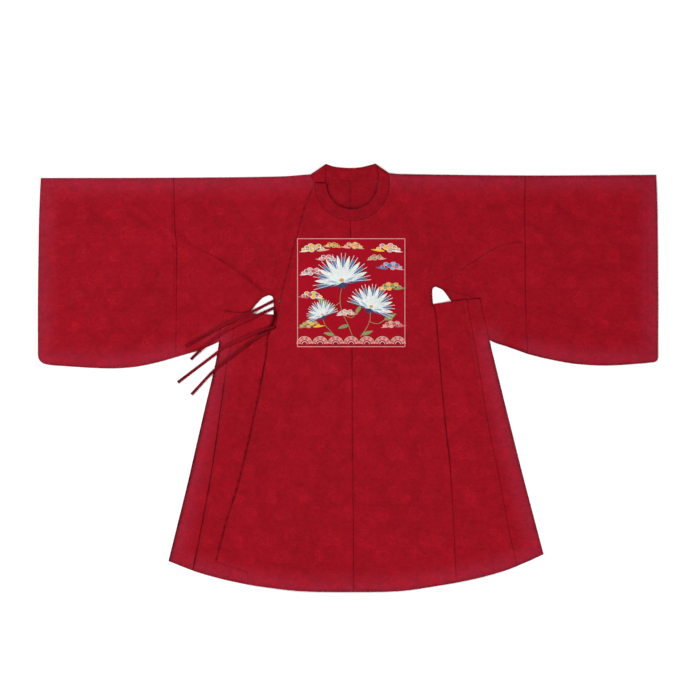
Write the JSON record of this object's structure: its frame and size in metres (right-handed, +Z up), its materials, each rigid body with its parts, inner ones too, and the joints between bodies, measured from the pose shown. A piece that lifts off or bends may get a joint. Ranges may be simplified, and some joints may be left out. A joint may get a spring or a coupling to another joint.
{
  "type": "round-collar hanfu robe laid flat",
  "caption": "Long crimson round-collar robe laid flat, with wide sleeves, a slanting lap, flared side panels, narrow ties and a square chest badge.",
  "frame": {"origin": "centre of the bounding box on the surface that the robe lies on", "axes": "+X along the sleeves to the viewer's right, +Y from the hem to the collar, +Z up from the surface"},
  "size_m": [2.0001, 1.3817, 0.007],
  "materials": {
    "robe_satin": "crimson satin with a tone-on-tone cloud damask",
    "collar_satin": "plain crimson satin band",
    "badge_cloth": "crimson ground with coloured silk embroidery",
    "tie_satin": "narrow folded satin ties"
  },
  "bodies": {
    "root": {"back_left": "robe_satin", "back_right": "robe_satin", "sleeve_left_back": "robe_satin", "sleeve_left_front": "robe_satin", "sleeve_right_back": "robe_satin", "sleeve_right_front": "robe_satin", "front_left": "robe_satin", "front_right": "robe_satin", "lap": "robe_satin", "side_left_back": "robe_satin", "side_left_front": "robe_satin", "side_right_back": "robe_satin", "side_right_front": "robe_satin", "collar_front": "collar_satin", "collar_back": "collar_satin", "collar_shoulder": "collar_satin", "badge": "badge_cloth", "tie_gap_upper": "tie_satin", "tie_gap_lower": "tie_satin", "tie_lap_upper": "tie_satin", "tie_lap_lower": "tie_satin"}
  },
  "joints": []
}
